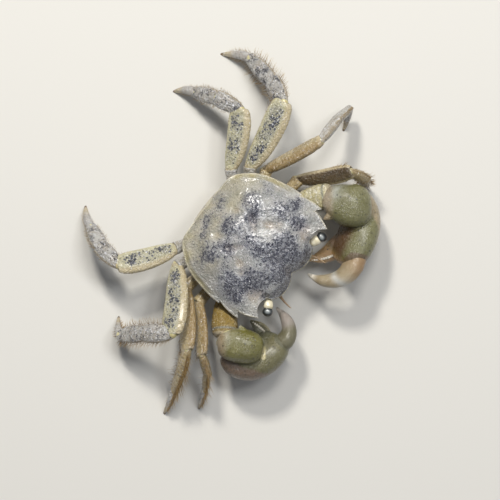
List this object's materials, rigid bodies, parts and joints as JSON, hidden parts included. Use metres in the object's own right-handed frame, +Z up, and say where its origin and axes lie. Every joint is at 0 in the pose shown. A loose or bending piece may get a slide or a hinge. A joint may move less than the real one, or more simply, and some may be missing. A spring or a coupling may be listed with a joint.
{
  "type": "shore crab",
  "caption": "Life-size shore crab, a still display model standing on its walking legs with both claws folded in front of its mouth.",
  "frame": {"origin": "middle of the bottom of the bounding box, on the floor under the body", "axes": "+X towards the crab's own left side, -Y the way its head faces, +Z up from the floor through its back"},
  "size_m": [0.079, 0.0572, 0.0179],
  "materials": {
    "back_shell": "wet mottled grey-green shell with blue-black specks",
    "belly_shell": "smooth pale cream shell",
    "leg_shell": "wet yellow-grey shell with blue-black dots",
    "limb_tip": "smooth cream and tan shell",
    "claw_shell": "glossy olive-green shell with a fine dark grain",
    "claw_arm": "glossy ochre shell",
    "finger": "glossy cream and orange-brown shell with white teeth",
    "eye": "polished dark eye on a cream stalk",
    "mouth_plate": "smooth tan plate with short hairs at its edge",
    "feeler": "thin ringed brown feeler"
  },
  "bodies": {
    "root": {"eye_left": "eye", "antenna_left": "feeler", "maxilliped_left": "mouth_plate", "claw_left_base": "claw_arm", "claw_left_merus": "claw_arm", "claw_left_carpus": "claw_shell", "claw_left_palm": "claw_shell", "claw_left_dactyl": "finger", "leg_left_1_base": "limb_tip", "leg_left_1_merus": "leg_shell", "leg_left_1_carpus": "leg_shell", "leg_left_1_propodus": "leg_shell", "leg_left_1_dactyl": "limb_tip", "leg_left_2_base": "limb_tip", "leg_left_2_merus": "leg_shell", "leg_left_2_carpus": "leg_shell", "leg_left_2_propodus": "leg_shell", "leg_left_2_dactyl": "limb_tip", "leg_left_3_base": "limb_tip", "leg_left_3_merus": "leg_shell", "leg_left_3_carpus": "leg_shell", "leg_left_3_propodus": "leg_shell", "leg_left_3_dactyl": "limb_tip", "leg_left_4_base": "limb_tip", "leg_left_4_merus": "leg_shell", "leg_left_4_carpus": "leg_shell", "leg_left_4_propodus": "leg_shell", "leg_left_4_dactyl": "limb_tip", "eye_right": "eye", "antenna_right": "feeler", "maxilliped_right": "mouth_plate", "claw_right_base": "claw_arm", "claw_right_merus": "claw_arm", "claw_right_carpus": "claw_shell", "claw_right_palm": "claw_shell", "claw_right_dactyl": "finger", "leg_right_1_base": "limb_tip", "leg_right_1_merus": "leg_shell", "leg_right_1_carpus": "leg_shell", "leg_right_1_propodus": "leg_shell", "leg_right_1_dactyl": "limb_tip", "leg_right_2_base": "limb_tip", "leg_right_2_merus": "leg_shell", "leg_right_2_carpus": "leg_shell", "leg_right_2_propodus": "leg_shell", "leg_right_2_dactyl": "limb_tip", "leg_right_3_base": "limb_tip", "leg_right_3_merus": "leg_shell", "leg_right_3_carpus": "leg_shell", "leg_right_3_propodus": "leg_shell", "leg_right_3_dactyl": "limb_tip", "leg_right_4_base": "limb_tip", "leg_right_4_merus": "leg_shell", "leg_right_4_carpus": "leg_shell", "leg_right_4_propodus": "leg_shell", "leg_right_4_dactyl": "limb_tip", "abdomen": "belly_shell", "carapace": "back_shell", "thorax": "belly_shell"}
  },
  "joints": []
}
